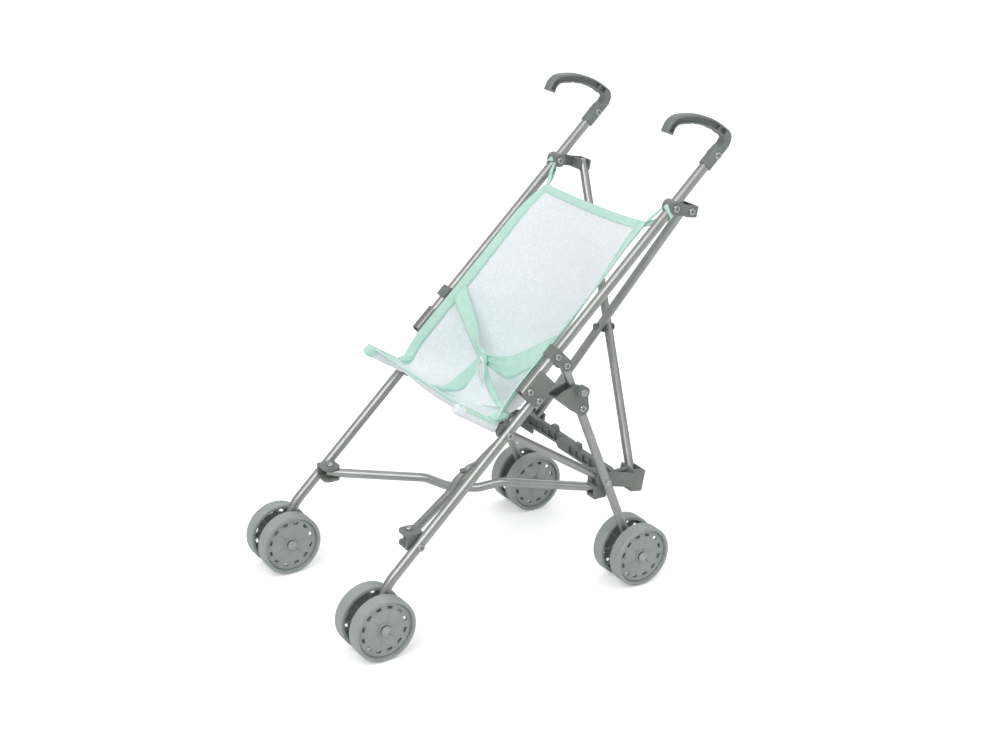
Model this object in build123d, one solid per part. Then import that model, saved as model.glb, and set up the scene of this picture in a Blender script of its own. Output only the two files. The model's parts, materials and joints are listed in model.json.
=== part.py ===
from build123d import *
from math import atan2, cos, degrees, hypot, radians, sin
import os

# Doll stroller with a folding tube frame and a sling seat. It faces -Y, +X is its left
# side, and it stands on z = 0 with its origin under the middle of its box.

# Overall layout, in millimetres. The frame's sides stand off the seat's width.
sling_half_width = 90.8
side_margin = 19.2
side_x = sling_half_width + side_margin
wheel_radius = 36.0
front_axle_y = -197.86
rear_axle_y = 135.14
tube_angle = 44.5
hinge_y = -16.86
hinge_z = 263.0

# Tubes
main_tube_radius = 5.5
tube_radius = 5.0
tube_wall = 1.0
clearance = 0.35
pin_radius = 2.5
rivet_head_radius = 4.2
rivet_head_height = 1.2

# Stations along the handle tube, measured up the tube from the leg hinge
handle_tube_end = -6.0
handle_tube_top = 330.0
link_station = 47.5
top_bracket_station = 251.0
socket_station = 308.0
# The front leg lies behind the handle tube, this far from axis to axis
leg_offset = 17.0
leg_top_station = 9.0
seat_pivot_station = -48.5
leg_foot_angle = 72.0
leg_bend = 60.0
foot_overrun = 7.0

# Rear leg, seat tube and the joint that they share
rear_joint_y = 94.14
rear_joint_z = 131.0
link_length = 34.0
catch_pivot_drop = 58.5
leg_above_catch = 12.0
seat_tube_inset = 13.0
seat_tube_x = side_x - seat_tube_inset
seat_tube_radius = 4.5
seat_tube_front = 63.0

# Back cross and base cross
back_top_y = 189.64
back_top_z = 432.0
back_foot_y = 137.14
back_foot_z = 119.0
back_top_inset = 7.0
back_foot_inset = 18.0
back_top_x = side_x - back_top_inset
back_foot_x = side_x - back_foot_inset
back_tube_end = 6.0
back_tube_foot = 3.0
cross_spacing = 12.5
base_inset = 20.0
base_cross_x = side_x - base_inset
base_front_y = -146.86
base_rear_y = 97.14
base_z = 114.5
base_tube_end = 3.5
base_lift = 6.0
base_dip = 9.0
base_flat = 34.0
base_ramp = 26.0
base_bend = 30.0
slot_wall = 3.0

# Rear brace
brace_x = base_cross_x
brace_z = 128.0
brace_front_y = 110.14
brace_depth = 5.7
brace_gap = 0.6
brace_height = 13.0
brace_lap = 12.0
brace_end_radius = 8.0
brace_pin_radius = 3.0

# Wheels
wheel_spacing = 32.0
wheel_width = 16.0
rim_wall = 4.0
face_recess = 4.0
face_wall = 2.5
hub_radius = 8.0
hub_sink = 3.0
axle_radius = 3.0
axle_play = 0.1
axle_head_radius = 5.2
axle_head_height = 2.0
slot_count = 12
slot_ring_radius = 25.5
slot_length = 6.0
slot_width = 3.4
spoke_count = 8
spoke_width = 1.6

# Sling seat
cloth = 1.6
seat_back_top_y = 137.14
seat_back_top_z = 414.0
seat_crease_y = 39.64
seat_crease_z = 203.0
crease_radius = 24.0
lip_drop = 26.0
lip_reach = 4.0
side_gap = 0.3

os.makedirs("parts", exist_ok=True)


def along_tube(station, behind=0.0):
    """Side-view (y, z) of a point on the handle tube's line."""
    a = radians(tube_angle)
    y = hinge_y + station * cos(a) + behind * sin(a)
    z = hinge_z + station * sin(a) - behind * cos(a)
    return y, z


def toward(start, end, distance):
    """Side-view point at a distance from start on the line to end."""
    length = hypot(end[0] - start[0], end[1] - start[1])
    share = distance / length
    return start[0] + (end[0] - start[0]) * share, start[1] + (end[1] - start[1]) * share


def tilt(start, end):
    return degrees(atan2(end[1] - start[1], end[0] - start[0]))


def at_x(x, point):
    return Vector(x, point[0], point[1])


def rod(start, end, radius):
    path = Line(start, end)
    return sweep(Plane(start, z_dir=path % 0) * Circle(radius), path=path)


def pipe(path, radius, wall):
    ring = Circle(radius) - Circle(radius - wall)
    return sweep(Plane(path @ 0, z_dir=path % 0) * ring, path=path)


def from_side(sketch, x_low, x_high):
    """Extrude a side-view sketch, drawn in (y, z), from x_low to x_high."""
    return extrude(Plane.YZ.offset(x_low) * sketch, amount=x_high - x_low)


def cross_pin(point, x_low, x_high, radius):
    return from_side(Pos(*point) * Circle(radius), x_low, x_high)


def rivet(point, x, outward=1):
    """A domed rivet head seated on a face at x."""
    base = x if outward > 0 else x - rivet_head_height
    head = cross_pin(point, base, base + rivet_head_height, rivet_head_radius)
    rim = head.faces().sort_by(Axis.X)[-1 if outward > 0 else 0].edges()
    return chamfer(rim, rivet_head_height * 0.6)


def lug(start, end, start_radius, end_radius):
    """A side-view plate with two round ends."""
    a, b = Pos(*start) * Circle(start_radius), Pos(*end) * Circle(end_radius)
    return make_hull((a + b).edges())


def opposite(shape):
    return mirror(shape, about=Plane.YZ)


pieces = {}


def pair(name, shape):
    pieces["left_" + name] = shape
    pieces["right_" + name] = opposite(shape)


# Points that the pieces share, as side-view (y, z)
front_axle = (front_axle_y, wheel_radius)
rear_axle = (rear_axle_y, wheel_radius)
hinge_upper = along_tube(0)
hinge_lower = along_tube(0, leg_offset)
link_clamp = along_tube(link_station)
link_pivot = along_tube(link_station, leg_offset)
top_pivot = along_tube(top_bracket_station)
seat_pivot = along_tube(seat_pivot_station, leg_offset)
rear_joint = (rear_joint_y, rear_joint_z)
catch_pivot = toward(link_pivot, rear_axle, catch_pivot_drop)
inner_face = side_x - main_tube_radius
outer_face = side_x + main_tube_radius

# Handle tube, with a cross hole for each rivet
handle_tube = pipe(
    Line(at_x(side_x, along_tube(handle_tube_end)), at_x(side_x, along_tube(handle_tube_top))),
    main_tube_radius,
    tube_wall,
)
pair("handle_tube", handle_tube)

# Front leg: straight behind the handle tube, then bent steeper down to the axle
foot_run = radians(leg_foot_angle)
foot = (front_axle[0] - foot_overrun * cos(foot_run), front_axle[1] - foot_overrun * sin(foot_run))
slope, leg_a = sin(foot_run) / cos(foot_run), radians(tube_angle)
leg_head = along_tube(leg_top_station, leg_offset)
knee_y = (leg_head[1] - foot[1] + slope * foot[0] - leg_head[0] * sin(leg_a) / cos(leg_a))
knee_y = knee_y / (slope - sin(leg_a) / cos(leg_a))
knee = (knee_y, foot[1] + slope * (knee_y - foot[0]))
leg_path = FilletPolyline(
    at_x(side_x, leg_head), at_x(side_x, knee), at_x(side_x, foot), radius=leg_bend
)
front_leg = pipe(leg_path, main_tube_radius, tube_wall)
front_leg -= cross_pin(front_axle, side_x - 20, side_x + 20, axle_radius)
pair("front_leg", front_leg)

# Rear leg and the short link above it
link_end = toward(link_pivot, rear_axle, link_length)
leg_top = toward(link_pivot, rear_axle, catch_pivot_drop - leg_above_catch)
leg_foot = toward(rear_axle, link_pivot, -foot_overrun)
rear_leg = pipe(Line(at_x(side_x, leg_top), at_x(side_x, leg_foot)), tube_radius, tube_wall)
rear_leg -= cross_pin(rear_axle, side_x - 20, side_x + 20, axle_radius)
rear_leg -= cross_pin(rear_joint, side_x - 20, side_x + 20, pin_radius)
rear_leg -= cross_pin(catch_pivot, side_x - 20, side_x + 20, pin_radius)
pair("rear_leg", rear_leg)

link_tube = pipe(Line(at_x(side_x, link_pivot), at_x(side_x, link_end)), tube_radius, tube_wall)
link_tube -= cross_pin(link_pivot, side_x - 20, side_x + 20, pin_radius)
pair("link", link_tube)

# Clamp folded over the handle tube, with the link's top end between its cheeks
clamp_half = 6.9
clamp_wall = 2.0
clamp_width = main_tube_radius + clamp_wall
clamp_front = Pos(*along_tube(link_station, -main_tube_radius - clamp_wall / 2)) * Rot(0, 0, tube_angle)
clamp_front *= Rectangle(2 * clamp_half, clamp_wall)
clamp_sketch = make_hull((clamp_front + Pos(*link_pivot) * Circle(clamp_half)).edges())
clamp = from_side(clamp_sketch, side_x - clamp_width, side_x + clamp_width)
clamp_axis_low = at_x(side_x, along_tube(link_station - 3 * clamp_half))
clamp_axis_high = at_x(side_x, along_tube(link_station + 3 * clamp_half))
clamp -= rod(clamp_axis_low, clamp_axis_high, main_tube_radius)
link_room = tube_radius + clearance
clamp_slot = Pos(*along_tube(link_station, leg_offset - link_room + 2 * clamp_half)) * Rot(0, 0, tube_angle)
clamp -= from_side(
    clamp_slot * Rectangle(6 * clamp_half, 4 * clamp_half), side_x - link_room, side_x + link_room
)
clamp += cross_pin(link_pivot, side_x - clamp_width, side_x + clamp_width, pin_radius)
for spot in (link_clamp, link_pivot):
    clamp += rivet(spot, side_x + clamp_width)
    clamp += rivet(spot, side_x - clamp_width, -1)
pair("link_clamp", clamp)

# Hinge plate: folded round the handle tube's end, with cheeks back over the leg's top
plate_wall = 2.0
plate_up = 25.0
plate_down = 8.0
plate_corner = 2.0
plate_width = main_tube_radius + plate_wall
plate_front = -main_tube_radius + 1.0
plate_back = leg_offset + pin_radius + 1.0
plate_mid = along_tube((plate_up - plate_down) / 2, (plate_front + plate_back) / 2)
plate_outline = RectangleRounded(plate_up + plate_down, plate_back - plate_front, plate_corner)
plate = from_side(
    Pos(*plate_mid) * Rot(0, 0, tube_angle) * plate_outline, side_x - plate_width, side_x + plate_width
)
bore_low = at_x(side_x, along_tube(-2 * plate_up))
bore_high = at_x(side_x, along_tube(2 * plate_up))
plate -= rod(bore_low, bore_high, main_tube_radius)
cheek_room = Pos(*along_tube(0, 2 * leg_offset - main_tube_radius)) * Rot(0, 0, tube_angle)
plate -= from_side(cheek_room * Rectangle(4 * plate_up, 2 * leg_offset), inner_face, outer_face)
plate += cross_pin(hinge_lower, side_x - plate_width, side_x + plate_width, pin_radius)
front_leg_pinned = pieces["left_front_leg"]
front_leg_pinned -= cross_pin(hinge_lower, side_x - 20, side_x + 20, pin_radius)
for spot in (hinge_upper, hinge_lower):
    plate += rivet(spot, side_x + plate_width)
    plate += rivet(spot, side_x - plate_width, -1)
pair("hinge_plate", plate)

# Seat tube: from the rear joint up past the front leg to the seat's front corner
seat_dir = tilt(rear_joint, seat_pivot)
seat_tip = toward(seat_pivot, rear_joint, -seat_tube_front)
seat_end = 6.0
seat_tail = toward(rear_joint, seat_pivot, -seat_end)
seat_tube = pipe(Line(at_x(seat_tube_x, seat_tip), at_x(seat_tube_x, seat_tail)), seat_tube_radius, tube_wall)
seat_tube -= cross_pin(rear_joint, seat_tube_x - seat_tube_inset, side_x, pin_radius)
seat_tube -= cross_pin(seat_pivot, seat_tube_x - seat_tube_inset, side_x, pin_radius)
pair("seat_tube", seat_tube)

# Boss and rivet between the front leg and the seat tube
boss_radius = 8.0
boss = cross_pin(seat_pivot, seat_tube_x + seat_tube_radius * 0.55, inner_face + 1.6, boss_radius)
boss -= rod(at_x(seat_tube_x, seat_tip), at_x(seat_tube_x, seat_tail), seat_tube_radius)
boss_axis_low = at_x(side_x, along_tube(seat_pivot_station - 30, leg_offset))
boss_axis_high = at_x(side_x, along_tube(seat_pivot_station + 30, leg_offset))
boss -= rod(boss_axis_low, boss_axis_high, main_tube_radius)
boss_pin_low = seat_tube_x - seat_tube_radius - 1.0
boss += cross_pin(seat_pivot, boss_pin_low, outer_face, pin_radius)
boss += rivet(seat_pivot, outer_face)
boss += rivet(seat_pivot, boss_pin_low + 1.0, -1)
front_leg_pinned -= cross_pin(seat_pivot, side_x - 20, side_x + 20, pin_radius)
pair("seat_boss", boss)

# Back cross: two tubes that slope across each other behind the frame
back_top = (back_top_y, back_top_z)
back_foot = (back_foot_y, back_foot_z)
back_tilt = tilt(back_foot, back_top)
back_length = hypot(back_top_y - back_foot_y, back_top_z - back_foot_z)
back_low = back_length * back_foot_x / (back_top_x + back_foot_x)
back_high = back_length - back_low
back_mid = toward(back_foot, back_top, back_low)


def back_point(x, up, behind):
    """A point of the back cross: across, up its plane, and behind it."""
    a = radians(back_tilt)
    y = back_mid[0] + up * cos(a) + behind * sin(a)
    z = back_mid[1] + up * sin(a) - behind * cos(a)
    return Vector(x, y, z)


def back_tube(side, behind):
    lean = atan2(back_top_x + back_foot_x, back_length)
    top_x = back_top_x + back_tube_end * sin(lean)
    low_x = back_foot_x + back_tube_foot * sin(lean)
    top = back_point(side * top_x, back_high + back_tube_end * cos(lean), behind)
    low = back_point(-side * low_x, -back_low - back_tube_foot * cos(lean), behind)
    return pipe(Line(top, low), tube_radius, tube_wall)


half_spacing = cross_spacing / 2
tube_a = back_tube(-1, half_spacing)
tube_b = back_tube(1, -half_spacing)
spacer_radius = 6.5
washer_half = half_spacing - tube_radius - clearance
spacer = rod(back_point(0, 0, washer_half), back_point(0, 0, -washer_half), spacer_radius)
rivet_reach = half_spacing + tube_radius
spacer += rod(back_point(0, 0, rivet_reach), back_point(0, 0, -rivet_reach), pin_radius)
for end in (1, -1):
    spacer += rod(
        back_point(0, 0, end * (rivet_reach + clearance)),
        back_point(0, 0, end * (rivet_reach + clearance + rivet_head_height)),
        rivet_head_radius,
    )
    spacer += rod(
        back_point(0, 0, end * rivet_reach),
        back_point(0, 0, end * (rivet_reach + clearance)),
        pin_radius,
    )
pivot_hole = rod(back_point(0, 0, 20), back_point(0, 0, -20), pin_radius + clearance)
pieces["back_cross_tube_a"] = tube_a - pivot_hole
pieces["back_cross_tube_b"] = tube_b - pivot_hole
pieces["back_pivot"] = spacer

# Base cross: tubes that run level between the clamps and bend over and under each other
base_mid_y = (base_front_y + base_rear_y) / 2
base_half = (base_rear_y - base_front_y) / 2


def base_tube(side, rise):
    reach = hypot(base_cross_x, base_half)
    heading = Vector(side * base_cross_x / reach, -base_half / reach, 0)

    def station(distance, lift):
        return Vector(0, base_mid_y, base_z + lift) + heading * distance

    ends = reach + base_tube_end
    high = base_flat / 2
    low = high + base_ramp
    path = FilletPolyline(
        station(ends, 0),
        station(low, 0),
        station(high, rise),
        station(-high, rise),
        station(-low, 0),
        station(-ends, 0),
        radius=base_bend,
    )
    return pipe(path, tube_radius, tube_wall)


base_top = base_z + base_lift
base_bottom = base_z - base_dip
base_hole = rod(Vector(0, base_mid_y, base_z - 40), Vector(0, base_mid_y, base_z + 40), pin_radius + clearance)
pieces["base_cross_tube_c"] = base_tube(-1, -base_dip) - base_hole
pieces["base_cross_tube_d"] = base_tube(1, base_lift) - base_hole
post_low = base_bottom - tube_radius - clearance
post_high = base_top + tube_radius + clearance
post = rod(Vector(0, base_mid_y, post_low), Vector(0, base_mid_y, post_high), pin_radius)
post += rod(
    Vector(0, base_mid_y, base_bottom + tube_radius + clearance),
    Vector(0, base_mid_y, base_top - tube_radius - clearance),
    spacer_radius,
)
post += rod(Vector(0, base_mid_y, post_low - rivet_head_height), Vector(0, base_mid_y, post_low), rivet_head_radius)
post += rod(Vector(0, base_mid_y, post_high), Vector(0, base_mid_y, post_high + rivet_head_height), rivet_head_radius)
pieces["base_pivot"] = post

# Top bracket: a plate on the handle tube's outer side, folded into a clip round a back tube
fork_half = tube_radius + clearance
top_fork_height = 13.0
rear_fork_height = 26.0
fork_in = 4.0
bracket_wall = 2.5
bracket_radius = 7.6


def fork(behind, up, web_x, x_low, wall, height):
    """A block with a slot that a back tube turns and slides in, open toward the middle."""
    mid = back_point(0, up, behind)
    place = Pos(mid.Y, mid.Z) * Rot(0, 0, back_tilt)
    block = from_side(place * RectangleRounded(height, 2 * (fork_half + wall), 2.0), x_low, web_x + wall)
    return block - from_side(place * Rectangle(2 * height, 2 * fork_half), x_low - 1, web_x)


def top_bracket(behind):
    body = fork(behind, back_high, outer_face, back_top_x - fork_in, bracket_wall, top_fork_height)
    mid = back_point(0, back_high, behind)
    arm = lug(top_pivot, (mid.Y, mid.Z), bracket_radius, rivet_head_radius + 1.0)
    collar = cross_pin(top_pivot, inner_face - bracket_wall, outer_face + bracket_wall, bracket_radius)
    axis_low = at_x(side_x, along_tube(top_bracket_station - 3 * bracket_radius))
    axis_high = at_x(side_x, along_tube(top_bracket_station + 3 * bracket_radius))
    collar -= rod(axis_low, axis_high, main_tube_radius)
    collar += rivet(top_pivot, inner_face - bracket_wall, -1)
    plate_edge = outer_face + bracket_wall
    body += collar + from_side(arm, outer_face, plate_edge)
    return body + rivet(top_pivot, plate_edge) + rivet((mid.Y, mid.Z), plate_edge)


pieces["left_top_bracket"] = top_bracket(-half_spacing)
pieces["right_top_bracket"] = opposite(top_bracket(half_spacing))

# Rear block: bolted to the rear leg, it carries a back tube's foot and the brace's pin
block_web_x = side_x - tube_radius - 0.4 - slot_wall
block_in = 12.0
arm_radius = 8.0


def rear_block(behind, brace_y):
    body = fork(behind, -back_low, block_web_x, back_foot_x - block_in, slot_wall, rear_fork_height)
    mid = back_point(0, -back_low, behind)
    arm = lug(rear_joint, (mid.Y, mid.Z), arm_radius, fork_half + slot_wall)
    body += from_side(arm, block_web_x, block_web_x + slot_wall)
    body -= cross_pin(rear_joint, block_web_x - 1, side_x, pin_radius)
    front = mid.Y - fork_half - slot_wall + 3.5
    pin_front = brace_y - clearance
    body += rod(Vector(brace_x, pin_front, brace_z), Vector(brace_x, front, brace_z), brace_pin_radius)
    head_front = pin_front - rivet_head_height
    body += rod(
        Vector(brace_x, head_front, brace_z), Vector(brace_x, pin_front, brace_z), brace_pin_radius + 2.0
    )
    return body


brace_back_y = brace_front_y + brace_depth + brace_gap
pieces["left_rear_block"] = rear_block(half_spacing, brace_front_y)
pieces["right_rear_block"] = opposite(rear_block(-half_spacing, brace_back_y))

# Bolt through the rear leg, the block, the seat tube and the base clevis
clevis_lug_low = 84.5
clevis_lug_high = seat_tube_x - seat_tube_radius - 0.3
bolt = cross_pin(rear_joint, clevis_lug_low, side_x + tube_radius, pin_radius)
bolt += rivet(rear_joint, side_x + tube_radius)
bolt += rivet(rear_joint, clevis_lug_low, -1)
pair("rear_bolt", bolt)

# Base clevis on the rear bolt and base clamp on the front leg
clamp_span = 20.0
clevis_span = 16.0
fork_low_x = base_cross_x - 8.0
plate_gap = tube_radius + clearance


def level_fork(y, span, web_x, web_wall):
    """Two level cheeks over and under a base tube, joined by a web on the outer side."""
    wide = web_x + web_wall - fork_low_x
    block = Pos(fork_low_x + wide / 2, y, base_z) * Box(wide, span, 2 * (plate_gap + slot_wall))
    block = fillet(block.edges().filter_by(Axis.Z).group_by(Axis.X)[0], 6.0)
    room = web_x - fork_low_x + 1
    slot = Pos(web_x - room / 2, y, base_z) * Box(room, span + 2, 2 * plate_gap)
    body = block - slot
    for end in (1, -1):
        face_z = base_z + end * (plate_gap + slot_wall)
        head = Pos(base_cross_x, y, face_z + end * rivet_head_height / 2)
        body += head * Cylinder(rivet_head_radius, rivet_head_height)
    return body


clevis_web = block_web_x - 3.2
clevis = level_fork(rear_joint_y, clevis_span, clevis_web, slot_wall - 0.2)
clevis_foot = (rear_joint_y, base_z + plate_gap + slot_wall / 2)
ear = make_hull((Pos(*rear_joint) * Circle(6.5) + Pos(*clevis_foot) * Rectangle(13.0, slot_wall)).edges())
clevis += from_side(ear, clevis_lug_low, clevis_lug_high)
clevis -= cross_pin(rear_joint, fork_low_x, clevis_lug_high + 0.1, pin_radius)
pair("base_clevis", clevis)

clamp_web = inner_face - slot_wall - 0.3
front_clamp = level_fork(base_front_y, clamp_span, clamp_web, slot_wall)
clamp_station = -198.5
leg_at_clamp = along_tube(clamp_station, leg_offset)
front_clamp += cross_pin(leg_at_clamp, clamp_web, outer_face, pin_radius)
front_clamp += rivet(leg_at_clamp, outer_face)
front_leg_pinned -= cross_pin(leg_at_clamp, side_x - 20, side_x + 20, pin_radius)
pair("base_clamp", front_clamp)
pair("front_leg", front_leg_pinned)

# Rear brace: two ribbed bars that lap in the middle, each hung on its block's pin
rib_depth = 2.2
rib_wall = 1.8
brace_pockets = 5
tab_width = 9.0
tab_height = 7.0
tab_station = 62.0


def brace_half(front_y):
    plane = Plane(origin=(0, front_y, 0), x_dir=(1, 0, 0), z_dir=(0, -1, 0))
    bar = make_hull(
        (
            Pos(brace_x, brace_z) * Circle(brace_end_radius)
            + Pos(-brace_lap + brace_height / 2, brace_z) * Circle(brace_height / 2)
        ).edges()
    )
    tab = Pos(brace_x - tab_station, brace_z + brace_height / 2 + tab_height / 2 - 0.5)
    bar += tab * Trapezoid(tab_width + 3, tab_height, 75)
    body = extrude(plane * bar, amount=-brace_depth)
    body -= extrude(plane * Pos(brace_x, brace_z) * Circle(brace_pin_radius + clearance), amount=-brace_depth)
    run = brace_x - brace_end_radius - rib_wall - brace_height
    pitch = run / brace_pockets
    for k in range(brace_pockets):
        centre = brace_x - brace_end_radius - rib_wall - pitch * (k + 0.5)
        pocket = RectangleRounded(pitch - rib_wall, brace_height - 2 * rib_wall - 1.0, 1.2)
        body -= extrude(plane * Pos(centre, brace_z) * pocket, amount=-rib_depth)
    return body


pieces["left_brace"] = brace_half(brace_front_y)
pieces["right_brace"] = opposite(brace_half(brace_back_y))

# Catch: a folded channel that holds the link in line with the rear leg, with a round knob
catch_wall = 2.4
catch_room = tube_radius + clearance
catch_corner = (-36.0, 19.0)
catch_brow = (-21.0, 26.0)
catch_crown = (-7.0, 29.0)
catch_knob = (-4.0, 21.5)
knob_radius = 7.0
knob_height = 7.0
catch_end_radius = 8.5
catch_back = (6.0, 18.0)
web_near = (-15.0, 1.2)
web_wall = 2.2


def on_catch(offset):
    return catch_pivot[0] + offset[0], catch_pivot[1] + offset[1]


top_edge = ThreePointArc(on_catch(catch_corner), on_catch(catch_brow), on_catch(catch_crown))
rest_edge = Polyline(
    on_catch(catch_crown),
    on_catch(catch_back),
    on_catch((8.0, 0)),
    on_catch((0, -8.0)),
    on_catch((-5.5, -6.5)),
    on_catch(catch_corner),
)
outline = make_face(top_edge + rest_edge)
outline += Pos(*catch_pivot) * Circle(catch_end_radius)
catch = from_side(outline, side_x - catch_room - catch_wall, side_x + catch_room + catch_wall)
catch -= from_side(outline, side_x - catch_room, side_x + catch_room)
web_line = [on_catch(catch_corner), on_catch(web_near)]
web_up = Vector(web_near[1] - catch_corner[1], catch_corner[0] - web_near[0]).normalized() * -web_wall
web_face = Polyline(
    web_line[0],
    web_line[1],
    (web_line[1][0] + web_up.X, web_line[1][1] + web_up.Y),
    (web_line[0][0] + web_up.X, web_line[0][1] + web_up.Y),
    close=True,
)
catch += from_side(make_face(web_face), side_x - catch_room - catch_wall, side_x + catch_room + catch_wall)
knob_face = side_x + catch_room + catch_wall
catch += cross_pin(on_catch(catch_knob), knob_face - 1.0, knob_face + knob_height, knob_radius)
catch += cross_pin(catch_pivot, side_x - catch_room, side_x + catch_room, pin_radius - 0.1)
catch += rivet(catch_pivot, knob_face)
catch += rivet(catch_pivot, side_x - catch_room - catch_wall, -1)
pair("catch", catch)

# Handle: a hooked grip, hollowed on both sides, on a socket over the tube's top
grip_width = 12.5
grip_depth = 10.5
grip_corner = 3.2
bend_station = socket_station + 41.5
shoulder_run = 36.4
shoulder_rise = 26.4
grip_run = 42.0
tip_run = 5.4
tip_drop = 13.4
bend_radius = 7.0
arch_radius = 92.0
tip_radius = 13.5
socket_radius = 7.4
socket_length = 34.0
finger_count = 5
finger_from = 0.36
finger_to = 0.72
finger_radius = 6.5
finger_depth = 1.2
channel_depth = 3.8
channel_wall = 2.4
channel_start = 11.0
channel_rib = 10.0
channel_rib_wall = 2.0

socket_low = along_tube(socket_station)
elbow = along_tube(bend_station)
shoulder = (elbow[0] - shoulder_run, elbow[1] + shoulder_rise)
grip_front = (shoulder[0] - grip_run, shoulder[1])
grip_tip = (grip_front[0] - tip_run, grip_front[1] - tip_drop)
grip_path = FilletPolyline(
    *[at_x(side_x, point) for point in (socket_low, elbow, shoulder, grip_front, grip_tip)],
    radius=[bend_radius, arch_radius, tip_radius],
)
grip_plane = Plane(grip_path @ 0, x_dir=(1, 0, 0), z_dir=grip_path % 0)
handle = sweep(grip_plane * RectangleRounded(grip_width, grip_depth, grip_corner), path=grip_path)
socket_top = along_tube(socket_station + socket_length)
handle += rod(at_x(side_x, socket_low), at_x(side_x, socket_top), socket_radius)
channel_low = toward(elbow, shoulder, channel_start)
channel_end = toward(grip_tip, grip_front, channel_wall)
channel_path = FilletPolyline(
    *[at_x(side_x, point) for point in (channel_low, shoulder, grip_front, channel_end)],
    radius=[arch_radius, tip_radius],
)
channel_plane = Plane(channel_path @ 0, x_dir=(1, 0, 0), z_dir=channel_path % 0)
rib_at = toward(elbow, shoulder, channel_start + channel_rib)
rib_sketch = Pos(*rib_at) * Rot(0, 0, tilt(elbow, shoulder)) * Rectangle(channel_rib_wall, grip_depth)
rib = from_side(rib_sketch, side_x - grip_width, side_x + grip_width)
for end in (1, -1):
    groove = Pos(end * (grip_width - channel_depth) / 2, 0) * Rectangle(channel_depth, grip_depth - 2 * channel_wall)
    handle -= sweep(channel_plane * groove, path=channel_path) - rib
for k in range(finger_count):
    share = finger_from + (finger_to - finger_from) * k / (finger_count - 1)
    spot = grip_path @ share
    ahead = grip_path % share
    reach = grip_depth / 2 + finger_radius - finger_depth
    under = (spot.Y - ahead.Z * reach, spot.Z + ahead.Y * reach)
    handle -= cross_pin(under, side_x - grip_width, side_x + grip_width, finger_radius)
handle -= rod(at_x(side_x, along_tube(socket_station - grip_width)), at_x(side_x, along_tube(handle_tube_top)), main_tube_radius)
handle_rivet = along_tube(socket_station + 17.0)
handle += rivet(handle_rivet, side_x + socket_radius - 0.8)
handle += rivet(handle_rivet, side_x - socket_radius + 0.8, -1)
pair("handle", handle)

# Wheels in pairs on each axle, a leg between them
def wheel():
    """A wheel on the X axis: closed slotted face at +x, open ribbed side at -x."""
    half = wheel_width / 2
    face_x = half - face_recess
    rim = Cylinder(wheel_radius, wheel_width) - Cylinder(wheel_radius - rim_wall, wheel_width)
    rim = fillet(rim.edges().filter_by(GeomType.CIRCLE).group_by(SortBy.RADIUS)[-1], 1.6)
    face = Pos(0, 0, face_x - face_wall / 2) * Cylinder(wheel_radius - rim_wall / 2, face_wall)
    hub_low = -wheel_spacing / 2 + main_tube_radius + clearance
    hub_high = half - hub_sink
    hub = Pos(0, 0, (hub_low + hub_high) / 2) * Cylinder(hub_radius, hub_high - hub_low)
    body = rim + face + hub
    for k in range(spoke_count):
        spoke_run = wheel_radius - rim_wall / 2 - hub_radius / 2
        spoke = Pos(hub_radius / 2 + spoke_run / 2, 0, 0) * Box(spoke_run, spoke_width, 2 * face_x)
        body += Rot(0, 0, 360 * k / spoke_count) * spoke
    for k in range(slot_count):
        slot = Pos(slot_ring_radius, 0, face_x) * Box(slot_width, slot_length, 4 * face_wall)
        body -= Rot(0, 0, 360 * (k + 0.5) / slot_count) * slot
    body -= Cylinder(axle_radius + axle_play, 4 * wheel_width)
    return Rot(0, 90, 0) * body


one_wheel = wheel()
for place, axle_spot in (("front", front_axle), ("rear", rear_axle)):
    outer = Pos(side_x + wheel_spacing / 2, *axle_spot) * one_wheel
    inner = Pos(side_x - wheel_spacing / 2, *axle_spot) * opposite(one_wheel)
    pair(place + "_wheel_outer", outer)
    pair(place + "_wheel_inner", inner)
    hub_face = wheel_spacing / 2 + wheel_width / 2 - hub_sink + clearance
    axle = cross_pin(axle_spot, side_x - hub_face, side_x + hub_face, axle_radius)
    for end in (1, -1):
        low = side_x + hub_face if end > 0 else side_x - hub_face - axle_head_height
        axle += cross_pin(axle_spot, low, low + axle_head_height, axle_head_radius)
    pair(place + "_axle", axle)

# Sling: one sheet down the back and along the seat, with a side panel at each edge
seat_front = toward(seat_pivot, rear_joint, -seat_tube_front)
lip_corner = (seat_front[0] - lip_reach, seat_front[1])
lip_end = (lip_corner[0], lip_corner[1] - lip_drop)
sling_path = FilletPolyline(
    at_x(0, lip_end),
    at_x(0, lip_corner),
    at_x(0, (seat_crease_y, seat_crease_z)),
    at_x(0, (seat_back_top_y, seat_back_top_z)),
    radius=[5.0, crease_radius],
)
sling_plane = Plane(sling_path @ 0, x_dir=(1, 0, 0), z_dir=sling_path % 0)
sling = sweep(sling_plane * Rectangle(2 * (sling_half_width - cloth - side_gap), cloth), path=sling_path)
edge_top = along_tube(top_bracket_station - 14.0)
edge_low = along_tube(seat_pivot_station)
panel_face = make_face(
    Polyline(
        edge_top,
        edge_low,
        seat_pivot,
        (seat_crease_y - 26.0, seat_crease_z + 16.0),
        (seat_crease_y + 10.0, seat_crease_z + 26.0),
        (seat_back_top_y, seat_back_top_z),
        close=True,
    )
)
side_panel = from_side(panel_face, sling_half_width - cloth, sling_half_width)
pair("seat_side", side_panel)

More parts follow.
